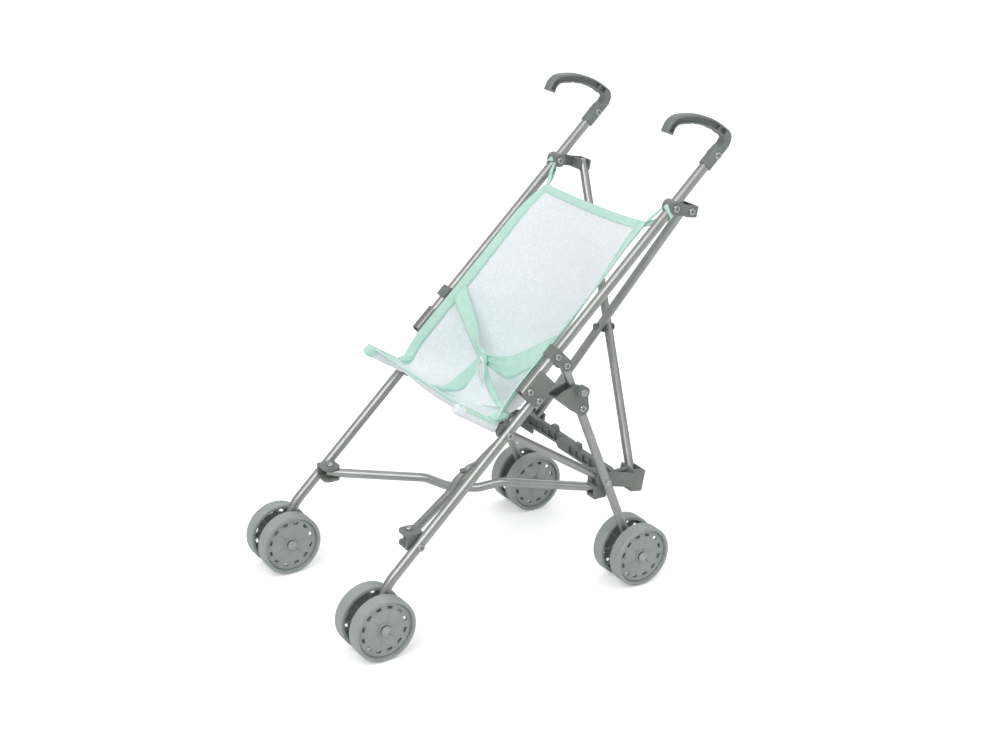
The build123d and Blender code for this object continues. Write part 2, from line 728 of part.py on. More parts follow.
# Straps: a loop on each handle tube, a crotch strap, two waist straps and a ring
loop_length = 16.0
loop_station = top_bracket_station - 26.0
loop_low = at_x(side_x, along_tube(loop_station - loop_length / 2))
loop_high = at_x(side_x, along_tube(loop_station + loop_length / 2))
loop = rod(loop_low, loop_high, main_tube_radius + cloth) - rod(loop_low, loop_high, main_tube_radius)
tab_sketch = Pos(*along_tube(loop_station)) * Rot(0, 0, tube_angle) * Rectangle(loop_length, cloth)
loop_tab = from_side(tab_sketch, sling_half_width + 0.3, side_x - main_tube_radius - 0.4)
pair("top_loop", loop + loop_tab)

crotch_y = -4.86
crotch_lean = 2.0
crotch_rise = 36.0
seam_width = 3.0
seam_height = 0.8
strap_width = 20.0
strap = 1.4


def seat_height(y):
    share = (y - lip_corner[0]) / (seat_crease_y - lip_corner[0])
    return lip_corner[1] + (seat_crease_z - lip_corner[1]) * share


# A raised seam across the seat carries the crotch strap's foot
seat_slope = tilt(lip_corner, (seat_crease_y, seat_crease_z))
seam_sketch = Pos(crotch_y, seat_height(crotch_y)) * Rot(0, 0, seat_slope)
seam_sketch *= Pos(0, cloth / 2 + seam_height / 2) * Rectangle(seam_width, seam_height)
seam_reach = sling_half_width - cloth - side_gap
pieces["seat_sling"] = sling + from_side(seam_sketch, -seam_reach, seam_reach)
crotch_foot = (crotch_y, seat_height(crotch_y) + cloth + seam_height)
crotch_top = (crotch_y + crotch_lean, crotch_foot[1] + crotch_rise)
crotch_plane = Plane(at_x(0, crotch_foot), x_dir=(1, 0, 0), z_dir=at_x(0, crotch_top) - at_x(0, crotch_foot))
crotch_path = Line(at_x(0, crotch_foot), at_x(0, crotch_top))
pieces["crotch_strap"] = sweep(crotch_plane * Rectangle(strap_width, strap), path=crotch_path)
ring_radius = 9.0
ring_wire = 2.0
ring_at = at_x(0, (crotch_top[0], crotch_top[1] + ring_radius + 0.3))
ring_spot = Pos(ring_at.X, ring_at.Y, ring_at.Z)
pieces["strap_ring"] = ring_spot * Rot(90, 0, 0) * Torus(ring_radius - ring_wire, ring_wire)
waist_start = ring_radius + 0.3
waist_clear = 2.6
waist_out = sling_half_width - cloth - waist_clear
waist_width = 16.0
waist_back = 24.0
waist_rise = 22.0
waist_path = Line(
    Vector(waist_start, ring_at.Y, ring_at.Z), Vector(waist_out, ring_at.Y + waist_back, ring_at.Z + waist_rise)
)
waist_plane = Plane(waist_path @ 0, x_dir=(0, 0, 1), z_dir=waist_path % 0)
pair("waist_strap", sweep(waist_plane * Rectangle(waist_width, strap), path=waist_path))

for name, shape in pieces.items():
    export_step(shape, "parts/" + name + ".step")
print(len(pieces), "pieces")
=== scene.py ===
import json
import math
import bpy
import bmesh
from mathutils import Matrix, Vector, noise


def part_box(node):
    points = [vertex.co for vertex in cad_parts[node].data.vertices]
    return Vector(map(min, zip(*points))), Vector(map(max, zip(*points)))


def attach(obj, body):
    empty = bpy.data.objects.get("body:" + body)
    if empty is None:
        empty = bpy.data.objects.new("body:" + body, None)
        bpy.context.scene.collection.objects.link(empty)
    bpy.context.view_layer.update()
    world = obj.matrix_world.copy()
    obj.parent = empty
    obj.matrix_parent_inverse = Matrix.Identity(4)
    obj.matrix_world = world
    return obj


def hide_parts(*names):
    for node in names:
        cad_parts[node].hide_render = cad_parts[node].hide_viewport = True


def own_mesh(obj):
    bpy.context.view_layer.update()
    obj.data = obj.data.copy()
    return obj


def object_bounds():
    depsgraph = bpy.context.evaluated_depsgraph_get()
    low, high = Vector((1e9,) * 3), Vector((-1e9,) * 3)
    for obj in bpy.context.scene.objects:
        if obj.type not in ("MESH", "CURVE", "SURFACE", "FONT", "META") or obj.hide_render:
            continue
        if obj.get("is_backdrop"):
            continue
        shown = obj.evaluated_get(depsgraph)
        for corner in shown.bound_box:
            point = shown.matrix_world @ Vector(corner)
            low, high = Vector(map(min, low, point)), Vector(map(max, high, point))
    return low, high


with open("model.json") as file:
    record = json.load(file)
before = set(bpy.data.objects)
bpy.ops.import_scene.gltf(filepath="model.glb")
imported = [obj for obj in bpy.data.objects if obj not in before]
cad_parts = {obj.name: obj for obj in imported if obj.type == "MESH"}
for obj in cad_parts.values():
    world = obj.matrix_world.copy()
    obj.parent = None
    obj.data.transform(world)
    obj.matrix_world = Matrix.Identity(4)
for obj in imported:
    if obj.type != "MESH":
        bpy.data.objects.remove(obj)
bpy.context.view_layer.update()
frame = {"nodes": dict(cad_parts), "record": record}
nodes = frame["nodes"]
sides = (("left", 1.0), ("right", -1.0))
print("frame loaded", len(nodes), "nodes")

# camera at the photograph's angle
cameraView = {
    "position": (1.5000, -0.95636, 0.9554),
    "target": (0.00084, 0.01215, 0.2416),
    "roll": 1.61,
    "fieldOfView": 32.017,
}


def placeCamera(view):
    data = bpy.data.cameras.new("camera")
    data.sensor_fit = "HORIZONTAL"
    data.angle = math.radians(view["fieldOfView"])
    camera = bpy.data.objects.new("camera", data)
    bpy.context.scene.collection.objects.link(camera)
    position = Vector(view["position"])
    forward = (Vector(view["target"]) - position).normalized()
    level = forward.cross(Vector((0, 0, 1))).normalized()
    above = level.cross(forward)
    roll = math.radians(view["roll"])
    right = level * math.cos(roll) + above * math.sin(roll)
    up = above * math.cos(roll) - level * math.sin(roll)
    turn = Matrix((right, up, -forward)).transposed().to_4x4()
    camera.matrix_world = Matrix.Translation(position) @ turn
    bpy.context.scene.camera = camera


placeCamera(cameraView)


# node helpers
def startMaterial(name):
    material = bpy.data.materials.new(name)
    material.use_nodes = True
    tree = material.node_tree
    return material, tree, tree.nodes["Principled BSDF"]


def addNode(tree, kind, **inputs):
    node = tree.nodes.new(kind)
    for key, value in inputs.items():
        node.inputs[key].default_value = value
    return node


def ramp(tree, source, stops):
    node = tree.nodes.new("ShaderNodeValToRGB")
    tree.links.new(source, node.inputs["Fac"])
    while len(node.color_ramp.elements) < len(stops):
        node.color_ramp.elements.new(0.5)
    for element, (place, colour) in zip(node.color_ramp.elements, stops):
        element.position = place
        element.color = (*colour, 1)
    return node.outputs["Color"]


def speckle(tree, scale, detail):
    node = addNode(tree, "ShaderNodeTexNoise", Scale=scale, Detail=detail)
    tree.links.new(tree.nodes.new("ShaderNodeTexCoord").outputs["Object"], node.inputs["Vector"])
    return node.outputs["Fac"]


# soft studio light and a pale floor
studio = {
    "sky": [(0.0, 0.50), (0.50, 0.26), (0.62, 0.42), (0.80, 0.86), (1.0, 1.0)],
    "skyStrength": 0.95, "backdrop": 1.05, "aim": (0.0, 0.0, 0.25),
    "keyPower": 26.0, "keySize": 1.5, "keyPlace": (1.0, -1.7, 2.1),
    "fillPower": 7.0, "fillSize": 2.6, "fillPlace": (2.2, 1.2, 1.3),
    "rimPower": 9.0, "rimSize": 1.6, "rimPlace": (-1.4, 1.4, 2.0),
    "floorSize": 160.0, "floorDrop": 0.0006, "floorPaper": 0.93, "floorRough": 0.9, "floorGlow": 0.31,
}


def makeSky(scene, s):
    world = bpy.data.worlds.new("studioWorld")
    scene.world = world
    world.use_nodes = True
    tree = world.node_tree
    link = tree.links.new
    background = tree.nodes["Background"]
    background.inputs["Strength"].default_value = s["skyStrength"]
    split = tree.nodes.new("ShaderNodeSeparateXYZ")
    link(tree.nodes.new("ShaderNodeTexCoord").outputs["Generated"], split.inputs["Vector"])
    height = addNode(tree, "ShaderNodeMapRange", **{"From Min": -1.0})
    link(split.outputs["Z"], height.inputs["Value"])
    greys = [(place, (grey, grey, grey)) for place, grey in s["sky"]]
    link(ramp(tree, height.outputs["Result"], greys), background.inputs["Color"])
    backdrop = addNode(tree, "ShaderNodeBackground", Color=(1, 1, 1, 1), Strength=s["backdrop"])
    choose = tree.nodes.new("ShaderNodeMixShader")  # plain white where the camera looks past the floor
    link(tree.nodes.new("ShaderNodeLightPath").outputs["Is Camera Ray"], choose.inputs["Fac"])
    link(background.outputs["Background"], choose.inputs[1])
    link(backdrop.outputs["Background"], choose.inputs[2])
    link(choose.outputs["Shader"], tree.nodes["World Output"].inputs["Surface"])


def makeLights(scene, s):
    for name in ("key", "fill", "rim"):
        light = bpy.data.lights.new(name + "Light", "AREA")
        light.energy = s[name + "Power"]
        light.size = s[name + "Size"]
        lamp = bpy.data.objects.new(name + "Light", light)
        scene.collection.objects.link(lamp)
        lamp.location = s[name + "Place"]
        lamp.rotation_euler = (Vector(s["aim"]) - lamp.location).to_track_quat("-Z", "Y").to_euler()


def makeFloor(scene, s):
    mesh = bpy.data.meshes.new("floor")
    half = s["floorSize"] / 2
    corners = [(-half, -half, 0), (half, -half, 0), (half, half, 0), (-half, half, 0)]
    mesh.from_pydata(corners, [], [(0, 1, 2, 3)])
    floor = bpy.data.objects.new("floor", mesh)
    scene.collection.objects.link(floor)
    floor.location.z = -s["floorDrop"]
    material, tree, shader = startMaterial("floorPaper")
    shader.inputs["Base Color"].default_value = (s["floorPaper"],) * 3 + (1,)
    shader.inputs["Roughness"].default_value = s["floorRough"]
    shader.inputs["Emission Color"].default_value = (1, 1, 1, 1)
    glow = tree.nodes.new("ShaderNodeMath")  # the paper glows for the eye and lights nothing
    glow.operation = "MULTIPLY"
    glow.inputs[1].default_value = s["floorGlow"]
    path = tree.nodes.new("ShaderNodeLightPath")
    tree.links.new(path.outputs["Is Camera Ray"], glow.inputs[0])
    tree.links.new(glow.outputs["Value"], shader.inputs["Emission Strength"])
    mesh.materials.append(material)
    floor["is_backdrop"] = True


def makeStudio(s):
    scene = bpy.context.scene
    scene.view_settings.view_transform = "Standard"
    makeSky(scene, s)
    makeLights(scene, s)
    makeFloor(scene, s)


makeStudio(studio)
print("camera and studio placed")


# materials: cloud, gloss and grain are a noise's scale and detail
surface = {"darkStop": 0.3, "paleStop": 0.7, "bumpDepth": 0.0003}
plasticNoise = {"cloud": (45.0, 5.0), "gloss": (220.0, 4.0), "grain": (1500.0, 3.0)}
tubePaint = {
    "dark": (0.335, 0.346, 0.333), "pale": (0.39, 0.402, 0.388), "rough": (0.35, 0.43), "bump": 0.02,
    "cloud": (60.0, 4.0), "gloss": (300.0, 3.0), "grain": (900.0, 2.0),
    "sockets": {"Metallic": 0.90, "Coat Weight": 0.25, "Coat Roughness": 0.2},
}
framePlastic = {
    "dark": (0.164, 0.183, 0.171), "pale": (0.197, 0.218, 0.205), "rough": (0.38, 0.52), "bump": 0.12,
    **plasticNoise,
}
wheelPlastic = {
    "dark": (0.298, 0.332, 0.316), "pale": (0.348, 0.382, 0.366), "rough": (0.42, 0.56), "bump": 0.14,
    **plasticNoise,
}
ringPlastic = {
    "dark": (0.80, 0.83, 0.81), "pale": (0.88, 0.90, 0.89), "rough": (0.22, 0.32), "bump": 0.03,
    **plasticNoise,
}
rivetSteel = {
    "dark": (0.36, 0.37, 0.365), "pale": (0.50, 0.51, 0.505), "rough": (0.20, 0.34),
    "cloud": (700.0, 3.0), "gloss": (500.0, 2.0), "sockets": {"Metallic": 1.0},
}


def addBump(tree, shader, height, strength):
    bump = addNode(tree, "ShaderNodeBump", Strength=strength, Distance=surface["bumpDepth"])
    tree.links.new(height, bump.inputs["Height"])
    tree.links.new(bump.outputs["Normal"], shader.inputs["Normal"])


def addClouds(tree, shader, look):
    stops = [(surface["darkStop"], look["dark"]), (surface["paleStop"], look["pale"])]
    tree.links.new(ramp(tree, speckle(tree, *look["cloud"]), stops), shader.inputs["Base Color"])


def addGloss(tree, shader, look):
    low, high = look["rough"]
    gloss = addNode(tree, "ShaderNodeMapRange", **{"To Min": low, "To Max": high})
    tree.links.new(speckle(tree, *look["gloss"]), gloss.inputs["Value"])
    tree.links.new(gloss.outputs["Result"], shader.inputs["Roughness"])


def makeHard(name, look):
    material, tree, shader = startMaterial(name)
    addClouds(tree, shader, look)
    addGloss(tree, shader, look)
    for socket, value in look.get("sockets", {}).items():
        shader.inputs[socket].default_value = value
    if "grain" in look:
        addBump(tree, shader, speckle(tree, *look["grain"]), look["bump"])
    return material


# cloth coordinates are in metres on the flat cut, kept in the mesh's uv map
seatCloth = {
    "white": (0.866, 0.898, 0.910), "print": (0.775, 0.823, 0.845),
    "dotPitch": 0.0040, "dotSize": (0.16, 0.46), "dotTurn": 38.0, "stray": 0.50,
    "thread": 0.0011, "bump": 0.35, "rough": 0.88, "sheen": 0.12,
}
mintTape = {
    "dark": (0.47, 0.735, 0.625), "pale": (0.54, 0.785, 0.690), "cloud": (120.0, 4.0),
    "thread": 0.0009, "bump": 0.3, "rough": 0.85, "sheen": 0.15,
}
threads = {"waveScale": 20.0, "distortion": 0.4, "detail": 1.0}


def weave(tree, coords, thread):
    mix = tree.nodes.new("ShaderNodeMath")
    mix.operation = "MULTIPLY"
    scale = 1.0 / thread / threads["waveScale"]
    for k, direction in enumerate(("X", "Y")):
        wave = addNode(tree, "ShaderNodeTexWave", Scale=scale, Distortion=threads["distortion"])
        wave.inputs["Detail"].default_value = threads["detail"]
        wave.bands_direction = direction
        tree.links.new(coords, wave.inputs["Vector"])
        tree.links.new(wave.outputs["Fac"], mix.inputs[k])
    return mix.outputs["Value"]


def addCloth(tree, shader, look, uv):
    shader.inputs["Roughness"].default_value = look["rough"]
    shader.inputs["Sheen Weight"].default_value = look["sheen"]
    addBump(tree, shader, weave(tree, uv, look["thread"]), look["bump"])


def makeSeatCloth(c):
    material, tree, shader = startMaterial("printedCotton")
    uv = tree.nodes.new("ShaderNodeUVMap").outputs["UV"]
    # pale dots in rows on a faint net
    turned = addNode(tree, "ShaderNodeMapping", Rotation=(0, 0, math.radians(c["dotTurn"])))
    tree.links.new(uv, turned.inputs["Vector"])
    dots = addNode(tree, "ShaderNodeTexVoronoi", Scale=1.0 / c["dotPitch"], Randomness=c["stray"])
    tree.links.new(turned.outputs["Vector"], dots.inputs["Vector"])
    stops = [(c["dotSize"][0], c["white"]), (c["dotSize"][1], c["print"])]
    tree.links.new(ramp(tree, dots.outputs["Distance"], stops), shader.inputs["Base Color"])
    addCloth(tree, shader, c, uv)
    return material


def makeMintTape(t):
    material, tree, shader = startMaterial("mintTape")
    addClouds(tree, shader, t)
    addCloth(tree, shader, t, tree.nodes.new("ShaderNodeUVMap").outputs["UV"])
    return material


finish = {
    "tube_metal": makeHard("silverTubePaint", tubePaint),
    "grey_plastic": makeHard("mouldedGrey", framePlastic),
    "wheel_plastic": makeHard("wheelGrey", wheelPlastic),
    "steel": makeHard("rivetSteel", rivetSteel),
    "cloth": makeSeatCloth(seatCloth),
    "binding": makeMintTape(mintTape),
    "ring_plastic": makeHard("whiteRing", ringPlastic),
}
for entry in frame["record"]["subparts"]:
    mesh = nodes[entry["node"]].data
    mesh.materials.clear()
    mesh.materials.append(finish[entry["material_slot"]])
print("finishes made", len(finish))


# the handle tube's line: side-view (y, z) of the hinge, its tilt, the leg tube behind it, and its middle in x
frameLine = {"hinge": (-0.01686, 0.263), "angle": 44.5, "legOffset": 0.017, "tubeX": 0.110}
tubeTilt = math.radians(frameLine["angle"])
tubeAxis = Vector((0, math.cos(tubeTilt), math.sin(tubeTilt)))
tubeUp = Vector((0, -math.sin(tubeTilt), math.cos(tubeTilt)))


def alongTube(station, behind=0.0):
    y = frameLine["hinge"][0] + station * math.cos(tubeTilt) + behind * math.sin(tubeTilt)
    z = frameLine["hinge"][1] + station * math.sin(tubeTilt) - behind * math.cos(tubeTilt)
    return y, z


# mesh helpers
def addPiece(name, verts, faces, material, smooth=True):
    mesh = bpy.data.meshes.new(name)
    mesh.from_pydata(verts, [], faces)
    mesh.materials.append(material)
    mesh.update()
    for face in mesh.polygons:
        face.use_smooth = smooth
    piece = bpy.data.objects.new(name, mesh)
    bpy.context.scene.collection.objects.link(piece)
    return piece


def applyModifiers(piece):
    depsgraph = bpy.context.evaluated_depsgraph_get()
    mesh = bpy.data.meshes.new_from_object(piece.evaluated_get(depsgraph))
    piece.modifiers.clear()
    piece.data = mesh


def cleanMesh(piece, merge=0.0, fill=False, turnOut=True):
    bm = bmesh.new()
    bm.from_mesh(piece.data)
    if merge:
        bmesh.ops.remove_doubles(bm, verts=bm.verts, dist=merge)
    if fill:
        bmesh.ops.holes_fill(bm, edges=[e for e in bm.edges if e.is_boundary])
    if turnOut:
        bmesh.ops.recalc_face_normals(bm, faces=bm.faces)
    bm.to_mesh(piece.data)
    bm.free()


def flatLengths(rows):
    flatU, flatV = [], []
    for r, row in enumerate(rows):
        line = [0.0]
        for a, b in zip(row, row[1:]):
            line.append(line[-1] + (b - a).length)
        middle = line[-1] / 2
        flatU.append([v - middle for v in line])
        if r == 0:
            flatV.append([0.0] * len(row))
        else:
            flatV.append([old + (b - a).length for old, a, b in zip(flatV[-1], rows[r - 1], row)])
    return flatU, flatV


def gridMesh(name, rows, material, thickness, closed=False):
    verts = [p for row in rows for p in row]
    across = len(rows[0])
    faces = []
    for r in range(len(rows) - 1):
        here, after = r * across, (r + 1) * across
        for c in range(across if closed else across - 1):
            n = (c + 1) % across
            faces.append((here + c, here + n, after + n, after + c))
    piece = addPiece(name, verts, faces, material)
    flatU, flatV = flatLengths(rows)
    layer = piece.data.uv_layers.new(name="flat")
    for loop in piece.data.loops:
        r, c = divmod(loop.vertex_index, across)
        layer.data[loop.index].uv = (flatU[r][c], flatV[r][c])
    if thickness:
        solid = piece.modifiers.new("cloth", "SOLIDIFY")
        solid.thickness = thickness
        solid.offset = 0.0
        applyModifiers(piece)
    return piece


def curveThrough(points, share):
    # smooth curve through the points, share runs from 0 at the first to 1 at the last
    place = share * (len(points) - 1)
    i = min(int(place), len(points) - 2)
    t = place - i
    p = [Vector(points[max(0, min(len(points) - 1, k))]) for k in (i - 1, i, i + 1, i + 2)]
    return 0.5 * (2 * p[1] + (p[2] - p[0]) * t + (2 * p[0] - 5 * p[1] + 4 * p[2] - p[3]) * t * t
                  + (3 * p[1] - p[0] - 3 * p[2] + p[3]) * t * t * t)


def smoothPath(points, count):
    return [curveThrough(points, k / (count - 1)) for k in range(count)]


def ribbonRows(points, widths, spans, across):
    rows = []
    for point, width, span in zip(points, widths, spans):
        rows.append([point + span * width * (k / (across - 1) - 0.5) for k in range(across)])
    return rows


# sling: one cloth hung from the side tubes, side-view (y, z) of its edge and of its middle line, front to top
sling = {
    "halfWidth": 0.1005, "topHalfWidth": 0.0930, "taperFrom": 0.74, "taperPower": 1.5, "leftLift": 0.0062,
    "rows": 72, "across": 57, "thickness": 0.0011, "fullness": 2.2,
    "wrinkle": 0.0014, "wrinkleWay": (0, 0.6, -0.8), "wrinkleNoise": [(26.0, 1.0), (61.0, 0.5)],
    "edge": [(-0.0930, 0.2577), (-0.0694, 0.2425), (-0.0509, 0.2306), (-0.0306, 0.2568), (0.0194, 0.3058),
             (0.0694, 0.3548), (0.1094, 0.3943), (0.1380, 0.4160)],
    "middle": [(-0.0699, 0.2390), (-0.0560, 0.2190), (-0.0140, 0.2085), (0.0300, 0.2055), (0.0655, 0.2589),
               (0.0968, 0.3269), (0.1215, 0.3830), (0.1374, 0.4138)],
}


def slingPoint(across, along):
    # across runs from 0 at the right edge to 1 at the left edge
    s = sling
    taper = max(0.0, (along - s["taperFrom"]) / (1 - s["taperFrom"])) ** s["taperPower"]
    half = s["halfWidth"] + (s["topHalfWidth"] - s["halfWidth"]) * taper
    x = -half * math.cos(math.pi * across)
    sag = 1 - abs(x / half) ** s["fullness"]
    side = curveThrough(s["edge"], along).lerp(curveThrough(s["middle"], along), sag)
    spot = Vector((x, side.x, side.y)) + tubeAxis * s["leftLift"] * taper * across
    fade = math.sin(math.pi * across) * math.sin(math.pi * min(1.0, along))
    drift = sum(share * noise.noise(spot * scale) for scale, share in s["wrinkleNoise"])
    return spot + Vector(s["wrinkleWay"]) * drift * s["wrinkle"] * fade


def slingRows(acrossCount, alongFrom, alongTo, alongCount):
    rows = []
    for r in range(alongCount):
        v = alongFrom + (alongTo - alongFrom) * r / (alongCount - 1)
        rows.append([slingPoint(c / (acrossCount - 1), v) for c in range(acrossCount)])
    return rows


def softPiece(piece):
    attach(piece, "right_side")
    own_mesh(piece)
    return piece


slingGrid = slingRows(sling["across"], 0.0, 1.0, sling["rows"])
slingCloth = gridMesh("slingCloth", slingGrid, finish["cloth"], sling["thickness"])
softPiece(slingCloth)
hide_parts("seat_sling", "left_seat_side", "right_seat_side")
print("sling cloth made")

# mint tape folded over each edge of the sling; the side tapes' width is measured in fine steps over the cloth
edgeTape = {
    "width": 0.0105, "thickness": 0.0022, "topShare": 0.946, "frontShare": 0.030,
    "sideRows": 70, "endColumns": 41, "across": 6, "fineSteps": 240, "stepsTried": 90,
}


def tapeStrip(name, rows):
    return softPiece(gridMesh(name, rows, finish["binding"], edgeTape["thickness"]))


def sideTapeRows(sideName):
    e = edgeTape
    rows = []
    for r in range(e["sideRows"]):
        v = r / (e["sideRows"] - 1)
        shares = [k / e["fineSteps"] for k in range(e["stepsTried"])]
        line = [slingPoint(1 - share if sideName == "left" else share, v) for share in shares]
        run, cut = 0.0, 1
        while cut < len(line) - 1 and run < e["width"]:
            run += (line[cut] - line[cut - 1]).length
            cut += 1
        rows.append([line[round(cut * k / (e["across"] - 1))] for k in range(e["across"])])
    return rows


slingTrim = [tapeStrip(sideName + "EdgeTape", sideTapeRows(sideName)) for sideName, mirror in sides]
for tapeName, low, high in (("top", edgeTape["topShare"], 1.0), ("front", 0.0, edgeTape["frontShare"])):
    tapeRows = slingRows(edgeTape["endColumns"], low, high, edgeTape["across"])
    slingTrim.append(tapeStrip(tapeName + "EdgeTape", tapeRows))
print("edge tape made")

# cloth sleeves over the seat tubes, each with a pocket at the tip and mint tape along its outer side
# the profiles hold stations along the tube and radii
seatSleeve = {
    "tip": (-0.0926, 0.2509), "along": (0.8414, -0.5405), "tubeX": 0.097, "thickness": 0.0009, "around": 28,
    "cloth": [(0.004, 0.0053), (0.012, 0.0055), (0.024, 0.0056), (0.036, 0.0055), (0.047, 0.0054),
              (0.0525, 0.0057)],
    "pocket": [(-0.0056, 0.0004), (-0.0052, 0.0026), (-0.0042, 0.0044), (-0.0022, 0.0053), (0.0004, 0.0058),
               (0.0030, 0.0060), (0.0055, 0.0061)],
    "tape": [(0.0045, 0.0061), (0.024, 0.0062), (0.038, 0.0061), (0.0500, 0.0061)],
    "clothRows": 26, "pocketRows": 18, "tapeRows": 20, "tapeTurn": (20.0, 115.0), "tapeAround": 14,
    "crush": 0.0004, "crushScale": 90.0, "crushReach": 0.02, "thinnest": 0.0002,
    "tipSlot": {"left": "cloth", "right": "binding"},
}


def sleeveRows(mirror, stations, count, turns):
    s = seatSleeve
    axis = Vector((0, *s["along"])).normalized()
    outward = Vector((mirror, 0, 0))
    up = Vector((0, -axis.z, axis.y))
    tip = Vector((mirror * s["tubeX"], *s["tip"]))
    rows = []
    for station, radius in smoothPath(stations, count):
        row = []
        for turn in turns:
            ray = outward * math.cos(turn) + up * math.sin(turn)
            spot = tip + axis * station + ray * s["crushReach"]
            crush = s["crush"] * noise.noise(spot * s["crushScale"])
            row.append(tip + axis * station + ray * max(radius + crush, s["thinnest"]))
        rows.append(row)
    return rows


def makeSleeve(sideName, mirror):
    s = seatSleeve
    fullTurn = [2 * math.pi * k / s["around"] for k in range(s["around"])]
    low, high = (math.radians(t) for t in s["tapeTurn"])
    tapeSteps = s["tapeAround"] - 1
    tapeTurns = [low + (high - low) * k / tapeSteps for k in range(s["tapeAround"])]
    for part, word, slotName, turns in (
        ("cloth", "Sleeve", "cloth", fullTurn),
        ("pocket", "Pocket", s["tipSlot"][sideName], fullTurn),
        ("tape", "SleeveTape", "binding", tapeTurns),
    ):
        rows = sleeveRows(mirror, s[part], s[part + "Rows"], turns)
        name = sideName + "Seat" + word
        piece = gridMesh(name, rows, finish[slotName], s["thickness"], closed=turns is fullTurn)
        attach(piece, sideName + "_side")


for sideName, mirror in sides:
    makeSleeve(sideName, mirror)
print("seat sleeves made")

# straps that run from the sling's top corners round the handle tubes and back
topStrap = {
    "station": 0.2400, "wrapRadius": 0.0068, "wrapFrom": 262, "wrapTurn": 240, "wrapSteps": 13,
    "width": 0.0085, "thickness": 0.0012, "corner": (0.0910, 0.1386, 0.4150), "spread": 0.010,
    "startBack": 0.003, "outShare": 0.35, "outDrop": 0.004,
    "homeShare": 0.45, "homeSpread": 0.7, "homeRise": 0.003, "endOn": 0.001, "rows": 72, "across": 4,
}


def makeTopStrap(sideName, mirror):
    s = topStrap
    outward = Vector((mirror, 0, 0))
    centre = Vector((mirror * frameLine["tubeX"], *alongTube(s["station"])))
    corner = Vector((mirror * s["corner"][0], *s["corner"][1:]))
    corner += tubeAxis * sling["leftLift"] * (mirror > 0)
    path = [corner - tubeAxis * s["startBack"], corner.lerp(centre, s["outShare"]) - tubeUp * s["outDrop"]]
    for k in range(s["wrapSteps"] + 1):
        turn = math.radians(s["wrapFrom"] + s["wrapTurn"] * k / s["wrapSteps"])
        ring = outward * math.cos(turn) + tubeUp * math.sin(turn)
        path.append(centre + ring * s["wrapRadius"] + tubeAxis * s["spread"] * k / s["wrapSteps"])
    home = corner.lerp(centre, s["homeShare"]) + tubeAxis * s["spread"] * s["homeSpread"]
    path += [home + tubeUp * s["homeRise"], corner + tubeAxis * s["endOn"]]
    points = smoothPath(path, s["rows"])
    rows = ribbonRows(points, [s["width"]] * len(points), [tubeAxis] * len(points), s["across"])
    piece = gridMesh(sideName + "TopStrap", rows, finish["binding"], s["thickness"])
    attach(piece, sideName + "_side")
    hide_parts(sideName + "_top_loop")
    return piece


for sideName, mirror in sides:
    slingTrim.append(makeTopStrap(sideName, mirror))
print("top straps made")

# harness: waist bands that gather at a knot, a printed crotch panel with mint edges, and a ring
waistBand = {
    "right": {"end": (-0.0958, 0.0240, 0.3030), "width": 0.023, "sag": -0.011},
    "left": {"end": (0.0960, 0.0120, 0.2960), "width": 0.044, "sag": -0.014},
    "knot": (0.001, -0.0029, 0.2600), "knotWidth": 0.013, "knotSpan": (0.0, -0.25, 0.97),
    "thickness": 0.0012, "rows": 30, "across": 7, "flare": 1.3,
    "bowBack": 0.004, "droopShare": 0.55, "droop": -0.004, "pleat": -0.0022, "pleatTurn": 2.1,
}


def makeBand(sideName):
    b = waistBand
    own = b[sideName]
    knot, end = Vector(b["knot"]), Vector(own["end"])
    middle = knot.lerp(end, 0.5) + Vector((0, b["bowBack"], own["sag"]))
    droop = knot.lerp(middle, b["droopShare"]) + Vector((0, 0, b["droop"]))
    points = smoothPath([knot, droop, middle, end], b["rows"])
    widths, spans = [], []
    for k in range(len(points)):
        t = k / (len(points) - 1)
        widths.append(b["knotWidth"] + (own["width"] - b["knotWidth"]) * t ** b["flare"])
        spans.append(Vector(b["knotSpan"]).lerp(tubeAxis, t).normalized())
    rows = ribbonRows(points, widths, spans, b["across"])
    for r, row in enumerate(rows):
        pinch = 1 - r / (len(rows) - 1)
        for k in range(len(row)):
            row[k] = row[k] + Vector((0, b["pleat"], 0)) * math.cos(k * b["pleatTurn"]) * pinch ** 2
    band = gridMesh(sideName + "WaistBand", rows, finish["binding"], b["thickness"])
    softPiece(band)
    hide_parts(sideName + "_waist_strap")


for sideName, mirror in reversed(sides):
    makeBand(sideName)

# bunches of tape: the harness knot and the sling's front corners
gather = {
    "rows": 17, "around": 28, "swellFrom": 0.12, "swellBy": 0.76, "swellPower": 0.6,
    "fold": 0.13, "foldTwist": 2.5, "dent": 0.08, "dentTurn": 9,
    "knotSize": (0.018, 0.007, 0.016), "knotFolds": 5,
    "cornerPlace": (0.0965, -0.0420, 0.2325), "cornerSize": (0.009, 0.024, 0.011), "cornerFolds": 7,
}


